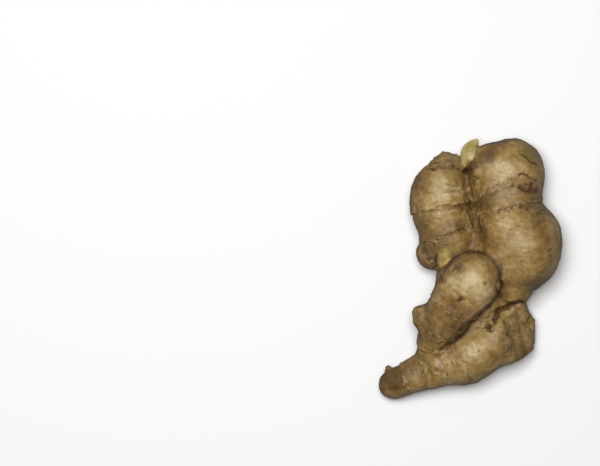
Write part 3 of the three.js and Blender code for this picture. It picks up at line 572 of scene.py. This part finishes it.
def fringe(points, turns, sizes, material):
    """The shreds on all the rings, as one mesh."""
    cloud = bpy.data.meshes.new("ring_fringe")
    cloud.from_pydata(points.tolist(), [], [])
    store(cloud, "turn", turns)
    store(cloud, "size", sizes)
    one = put("shred", shred())
    holder = put("ring_fringe", cloud)

    tree = bpy.data.node_groups.new("shreds on rings", "GeometryNodeTree")
    tree.interface.new_socket("Geometry", in_out="INPUT", socket_type="NodeSocketGeometry")
    shape = tree.interface.new_socket("Shred", in_out="INPUT", socket_type="NodeSocketObject")
    scale = tree.interface.new_socket("Scale of the shreds", in_out="INPUT", socket_type="NodeSocketFloat")
    tree.interface.new_socket("Geometry", in_out="OUTPUT", socket_type="NodeSocketGeometry")
    node = tree.nodes.new
    entry, leave = node("NodeGroupInput"), node("NodeGroupOutput")
    info, place = node("GeometryNodeObjectInfo"), node("GeometryNodeInstanceOnPoints")
    turn, size = node("GeometryNodeInputNamedAttribute"), node("GeometryNodeInputNamedAttribute")
    scaled = node("ShaderNodeVectorMath")
    for attribute, name in ((turn, "turn"), (size, "size")):
        attribute.data_type = "FLOAT_VECTOR"
        attribute.inputs["Name"].default_value = name
    scaled.operation = "SCALE"
    realize, paint = node("GeometryNodeRealizeInstances"), node("GeometryNodeSetMaterial")
    paint.inputs["Material"].default_value = material
    link = tree.links.new
    link(entry.outputs["Geometry"], place.inputs["Points"])
    link(entry.outputs["Shred"], info.inputs["Object"])
    link(info.outputs["Geometry"], place.inputs["Instance"])
    link(turn.outputs["Attribute"], place.inputs["Rotation"])
    link(size.outputs["Attribute"], scaled.inputs[0])
    link(entry.outputs["Scale of the shreds"], scaled.inputs["Scale"])
    link(scaled.outputs["Vector"], place.inputs["Scale"])
    link(place.outputs["Instances"], realize.inputs["Geometry"])
    link(realize.outputs["Geometry"], paint.inputs["Geometry"])
    link(paint.outputs["Geometry"], leave.inputs["Geometry"])

    modifier = holder.modifiers.new("shreds", "NODES")
    modifier.node_group = tree
    modifier[shape.identifier] = one
    modifier[scale.identifier] = 1.0
    evaluated = holder.evaluated_get(bpy.context.evaluated_depsgraph_get())
    mesh = bpy.data.meshes.new_from_object(evaluated)
    holder.modifiers.clear()
    holder.data = mesh
    bpy.data.objects.remove(one)
    return holder


class Wire:
    """A shader socket that works in sums: an expression on wires adds its Math nodes."""

    def __init__(self, graph, socket):
        self.graph, self.socket = graph, socket

    def _with(self, operation, *values):
        return self.graph.add("ShaderNodeMath", {"operation": operation}, dict(enumerate(values)))

    def __add__(self, other):
        return self._with("ADD", self, other)

    def __sub__(self, other):
        return self._with("SUBTRACT", self, other)

    def __rsub__(self, other):
        return self._with("SUBTRACT", other, self)

    def __mul__(self, other):
        return self._with("MULTIPLY", self, other)

    def __abs__(self):
        return self._with("ABSOLUTE", self)

    __radd__ = __add__
    __rmul__ = __mul__

    def step(self, low, high, start=0.0, end=1.0):
        """From start to end as this goes from low to high, smoothly. low may be above high."""
        if low > high:
            low, high, start, end = high, low, end, start
        inputs = {"Value": self, "From Min": low, "From Max": high, "To Min": start, "To Max": end}
        return self.graph.add("ShaderNodeMapRange", {"interpolation_type": "SMOOTHSTEP"}, inputs)


class Graph:
    """A material's nodes."""

    def __init__(self, material):
        material.use_nodes = True
        self.tree = material.node_tree
        self.tree.nodes.clear()

    def add(self, kind, settings, inputs, output=0):
        """Adds a node: its settings first, then the values or wires of its sockets. Returns one output."""
        node = self.tree.nodes.new(kind)
        for name, value in settings.items():
            if name == "stops":
                self._set_stops(node.color_ramp, value)
            else:
                setattr(node, name, value)
        for name, value in inputs.items():
            if isinstance(value, Wire):
                self.tree.links.new(value.socket, node.inputs[name])
            else:
                node.inputs[name].default_value = value
        return Wire(self, node.outputs[output])

    @staticmethod
    def _set_stops(ramp, stops):
        while len(ramp.elements) < len(stops):
            ramp.elements.new(1)
        for element, (position, shade) in zip(ramp.elements, stops):
            element.position = position
            element.color = shade

    def attribute(self, name, output="Fac"):
        return self.add("ShaderNodeAttribute", {"attribute_name": name}, {}, output)

    def millimetres(self):
        """The place on the object, in millimetres."""
        place = self.add("ShaderNodeTexCoord", {}, {}, "Object")
        return self.add("ShaderNodeVectorMath", {"operation": "SCALE"}, {0: place, "Scale": 1 / MM})

    def stretched(self, vector, scale):
        return self.add("ShaderNodeVectorMath", {"operation": "MULTIPLY"}, {0: vector, 1: scale})

    def noise(self, vector, size, detail=3.0, roughness=0.5, distortion=0.0):
        """Noise with lumps of about that size, in millimetres, round 0.5."""
        inputs = {"Vector": vector, "Scale": 1 / size, "Detail": detail, "Roughness": roughness}
        return self.add("ShaderNodeTexNoise", {}, inputs | {"Distortion": distortion})

    def ramp(self, value, stops):
        return self.add("ShaderNodeValToRGB", {"stops": stops}, {0: value})

    def mix(self, below, above, share):
        """Two colours: the second over the first by share."""
        return self.add("ShaderNodeMix", {"data_type": "RGBA"}, {0: share, 6: below, 7: above}, 2)


def colour(red, green, blue):
    """A colour given as a screen shows it, from 0 to 255, in the linear values that a material takes."""
    linear = [(v / 255 / 12.92) if v < 10 else ((v / 255 + 0.055) / 1.055) ** 2.4 for v in (red, green, blue)]
    return (*linear, 1)


def ginger_skin():
    """Thin tan skin: mottled and soiled, with painted shade in the hollows, creases and on the steep sides and
    painted highlights on the limbs' tops, corky along the rings, with raw flesh on the broken ends.
    """
    material = bpy.data.materials.new("ginger skin")
    g = Graph(material)
    mm = g.millimetres()
    place = g.attribute("limb_place", "Vector")
    blotches = g.noise(mm, 11, 2)
    mottle = g.noise(mm, 2.4, 5, 0.6)
    patches = g.noise(mm, 5.5, 6, 0.68, 0.4).step(0.52, 0.66)
    grain = g.noise(mm, 0.45, 3, 0.6)
    streaks = g.noise(g.stretched(place, (1, 1, 0.16)), 0.9, 4, 0.6)
    bands = g.noise(g.stretched(place, (0.16, 0.16, 1)), 1.3, 4, 0.6, 0.3)
    dent, hollow = g.attribute("dent"), g.attribute("hollow")
    soil, pink, green, pale = (g.attribute(name) for name in ("soil", "pink", "green", "pale"))

    tone = blotches + 0.65 * (mottle - 0.5) + 0.2 * (streaks - 0.5) + 0.35 * (bands - 0.5)
    # Where the pale spots are strong the tone is lifted as a painted highlight.
    tone = tone + 0.34 * pale - 0.36 * soil
    base = g.ramp(
        tone,
        [
            (0.1, colour(86, 62, 27)),
            (0.32, colour(112, 86, 44)),
            (0.5, colour(134, 107, 58)),
            (0.68, colour(154, 129, 81)),
            (0.9, colour(178, 159, 120)),
        ],
    )
    base = g.mix(base, colour(142, 110, 78), 0.6 * pink + 0.35 * g.noise(mm, 4.3, 4).step(0.6, 0.72))
    # Where the soil spots are strong, the tone above and the next two darkenings are soil, and painted shade along
    # the seam valley.
    dust_and_shade = (0.35 + 0.9 * soil - 0.5 * pale) * patches
    base = g.mix(base, colour(92, 64, 30), dust_and_shade.step(0.0, 1.0, 0.0, 0.75))
    caked_soil_and_shade = soil.step(0.4, 1.1) * mottle.step(0.34, 0.6, 0.35, 1.0)
    base = g.mix(base, colour(76, 52, 24), 0.78 * caked_soil_and_shade)
    base = g.mix(base, colour(96, 86, 40), 0.6 * green)
    slant = g.attribute("slant")
    # Painted shade: steep sides are darkened, fading out again on faces that look down.
    painted_flank_shade = slant.step(0.15, 0.9) * slant.step(1.6, 1.0, 0.15, 1.0)
    base = g.mix(base, colour(60, 39, 9), 0.82 * painted_flank_shade)

    gap = g.attribute("ring_gap") + 0.5 * (g.noise(mm, 1.6, 3) - 0.5)
    along_ring = g.noise(g.stretched(place, (1, 1, 0.4)), 4.5, 3)
    line = abs(gap).step(0.5, 0.05) * along_ring.step(0.46, 0.62)
    lip = abs(gap - 0.85).step(0.8, 0.2) * mottle.step(0.42, 0.62)
    base = g.mix(base, colour(180, 158, 116), 0.42 * lip)
    below_ring = abs(gap + 1.2).step(1.8, 0.6) * g.noise(mm, 3.1, 4).step(0.44, 0.6)
    base = g.mix(base, colour(88, 60, 30), 0.4 * below_ring)
    base = g.mix(base, colour(66, 44, 20), 0.42 * line)

    # Darker in small dents and creases: soil caught there, and painted shade.
    grime_and_shade = dent.step(0.02, 0.32) * mottle.step(0.3, 0.65, 0.6, 1.0)
    base = g.mix(base, colour(74, 50, 22), 0.64 * grime_and_shade)
    # Painted shade: darker in the broad hollows between the limbs, such as the seam valley.
    base = g.mix(base, colour(64, 43, 19), 0.72 * hollow.step(0.35, 2.4))
    dots = g.add("ShaderNodeTexVoronoi", {}, {"Vector": mm, "Scale": 1 / 2.1})
    chosen = g.add("ShaderNodeTexVoronoi", {}, {"Vector": mm, "Scale": 1 / 2.1}, "Color")
    speck = dots.step(0.17, 0.08) * g.add("ShaderNodeSeparateColor", {}, {0: chosen}).step(0.7, 0.75)
    base = g.mix(base, colour(82, 54, 26), 0.7 * speck)
    # The scars' and cracks' own dark, with painted shade in the crevices between limbs.
    scarred_and_shaded = (g.attribute("scar") + 0.7 * (g.noise(mm, 0.9, 4) - 0.5)).step(0.15, 0.85)
    base = g.mix(base, colour(68, 40, 22), 0.92 * scarred_and_shaded)

    shoot = g.mix(colour(184, 166, 104), colour(146, 138, 76), green.step(0.2, 0.9))
    shoot = g.mix(shoot, colour(140, 112, 64), streaks.step(0.48, 0.7))
    shoot = g.mix(shoot, colour(194, 170, 126), 0.7 * pale)
    shoot = g.mix(shoot, colour(112, 82, 44), 0.85 * soil.step(0.25, 0.75))
    base = g.mix(base, shoot, 0.85 * g.attribute("shoot").step(0.25, 0.8))
    bud = g.mix(colour(138, 114, 56), colour(164, 142, 80), mottle.step(0.35, 0.65))
    bud = g.mix(bud, colour(190, 168, 108), 0.7 * pale)
    base = g.mix(base, bud, 0.75 * g.attribute("bud").step(0.25, 0.8))
    base = g.mix(base, colour(128, 96, 56), 0.6 * g.attribute("leaf").step(0.3, 0.8) * soil.step(0.7, 0.1))

    fibres = g.noise(mm, 1.7, 6, 0.66, 0.5)
    flesh = g.ramp(
        fibres,
        [(0.25, colour(88, 62, 32)), (0.5, colour(130, 102, 60)), (0.75, colour(174, 148, 100))],
    )
    broken = g.attribute("broken")
    flesh = g.mix(flesh, colour(100, 86, 44), 0.65 * g.noise(mm, 5.2, 4).step(0.46, 0.6))
    strands = g.noise(g.stretched(mm, (0.6, 1, 1)), 2.2, 4, 0.6).step(0.56, 0.68)
    flesh = g.mix(flesh, colour(160, 136, 88), 0.5 * strands)
    flesh = g.mix(flesh, colour(76, 54, 30), 0.75 * soil.step(0.3, 0.9))
    base = g.mix(base, flesh, 0.8 * broken.step(0.25, 0.8))

    height = 0.06 * (streaks - 0.5) + 0.3 * (mottle - 0.5) + 0.12 * (grain - 0.5) + 0.14 * (bands - 0.5)
    height = height + 0.06 * patches - 0.12 * line + 0.05 * lip - 0.1 * speck + 0.2 * broken * (fibres - 0.5)
    normal = g.add("ShaderNodeBump", {}, {"Height": height, "Strength": 1.0, "Distance": MM})
    rough = 0.39 + 0.35 * (mottle - 0.5) + 0.12 * patches + 0.18 * grime_and_shade + 0.2 * broken
    rough = rough + 0.12 * soil - 0.09 * pale + 0.38 * painted_flank_shade
    shader = g.add(
        "ShaderNodeBsdfPrincipled",
        {},
        {"Base Color": base, "Roughness": rough, "Normal": normal, "Specular IOR Level": 0.3},
    )
    finish_material(g, shader)
    return material


def finish_material(graph, shader):
    output = graph.tree.nodes.new("ShaderNodeOutputMaterial")
    graph.tree.links.new(shader.socket, output.inputs["Surface"])


def dry_leaf():
    """The papery brown of the shreds of scale leaf."""
    material = bpy.data.materials.new("dry scale leaf")
    g = Graph(material)
    mm = g.millimetres()
    tone = g.noise(mm, 2.2, 4, 0.6)
    base = g.ramp(
        tone,
        [(0.35, colour(84, 58, 28)), (0.5, colour(124, 96, 54)), (0.65, colour(164, 138, 92))],
    )
    shader = g.add("ShaderNodeBsdfPrincipled", {}, {"Base Color": base, "Roughness": 0.6})
    finish_material(g, shader)
    return material


def floor():
    half = 3.0
    mesh = bpy.data.meshes.new("floor")
    corners = [(-half, -half, 0), (half, -half, 0), (half, half, 0), (-half, half, 0)]
    mesh.from_pydata(corners, [], [(0, 1, 2, 3)])
    plane = put("floor", mesh)
    material = bpy.data.materials.new("pale floor")
    g = Graph(material)
    shader = g.add("ShaderNodeBsdfPrincipled", {}, {"Base Color": (0.79, 0.79, 0.79, 1), "Roughness": 0.9})
    finish_material(g, shader)
    mesh.materials.append(material)


def light(name, place, size, power):
    lamp = bpy.data.lights.new(name, "AREA")
    lamp.shape = "SQUARE"
    lamp.size = size
    lamp.energy = power
    holder = put(name, lamp)
    holder.location = place
    holder.rotation_euler = (Vector((0, 0, 0.01)) - Vector(place)).to_track_quat("-Z", "Y").to_euler()


def surroundings(strength):
    world = bpy.data.worlds.new("studio")
    world.use_nodes = True
    world.node_tree.nodes["Background"].inputs["Color"].default_value = (1, 1, 1, 1)
    world.node_tree.nodes["Background"].inputs["Strength"].default_value = strength
    bpy.context.scene.world = world


def camera():
    """Looks straight down, as the photograph does. Its 600 pixels span 270 mm at 15 mm over the floor."""
    height, middle_of_root, span = 1.0, 15 * MM, 270 * MM
    lens = bpy.data.cameras.new("camera")
    lens.sensor_width = 36
    lens.lens = lens.sensor_width * (height - middle_of_root) / span
    holder = put("camera", lens)
    holder.location = (-0.0768, 0.01637, height)
    bpy.context.scene.camera = holder


skin_mesh, fringe_places = dressed_root()
root = put("ginger_skin", skin_mesh)
root.data.materials.append(ginger_skin())
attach(root, "root")
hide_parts("ginger_root")
shreds = fringe(*fringe_places, dry_leaf())
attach(shreds, "root")

floor()
light("overhead softbox", (-0.17, 0.2, 1.1), 0.6, 15.8)
surroundings(0.09)
camera()
bpy.context.scene.view_settings.view_transform = "Standard"
